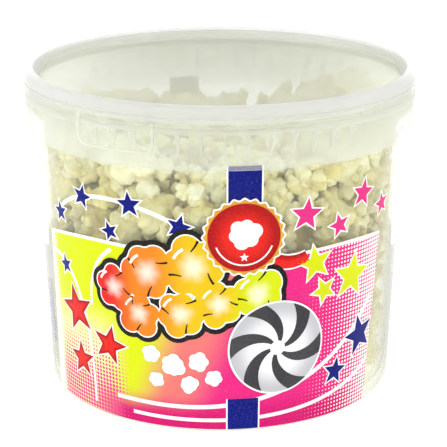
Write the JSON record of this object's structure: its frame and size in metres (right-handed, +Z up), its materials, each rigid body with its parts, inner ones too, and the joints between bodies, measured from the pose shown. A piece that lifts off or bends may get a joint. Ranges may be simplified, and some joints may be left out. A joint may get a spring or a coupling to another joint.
{
  "type": "bucket of popcorn",
  "caption": "Round clear plastic pail with a deep collar and a recessed press-on lid, filled with popcorn behind a printed film label.",
  "frame": {"origin": "centre of the base, on the surface the pail stands on", "axes": "+Z up along the pail's axis, the front of the label towards -Y"},
  "size_m": [0.2168, 0.2169, 0.1756],
  "materials": {
    "pail_plastic": "clear moulded plastic, slightly hazy, glossy",
    "lid_plastic": "translucent moulded plastic with a soft haze",
    "label_print": "glossy printed film with clear windows",
    "popped_corn": "dull, pale cream, with brown hull specks"
  },
  "bodies": {
    "root": {"pail": "pail_plastic", "lid": "lid_plastic", "label": "label_print", "popcorn": "popped_corn"}
  },
  "joints": []
}
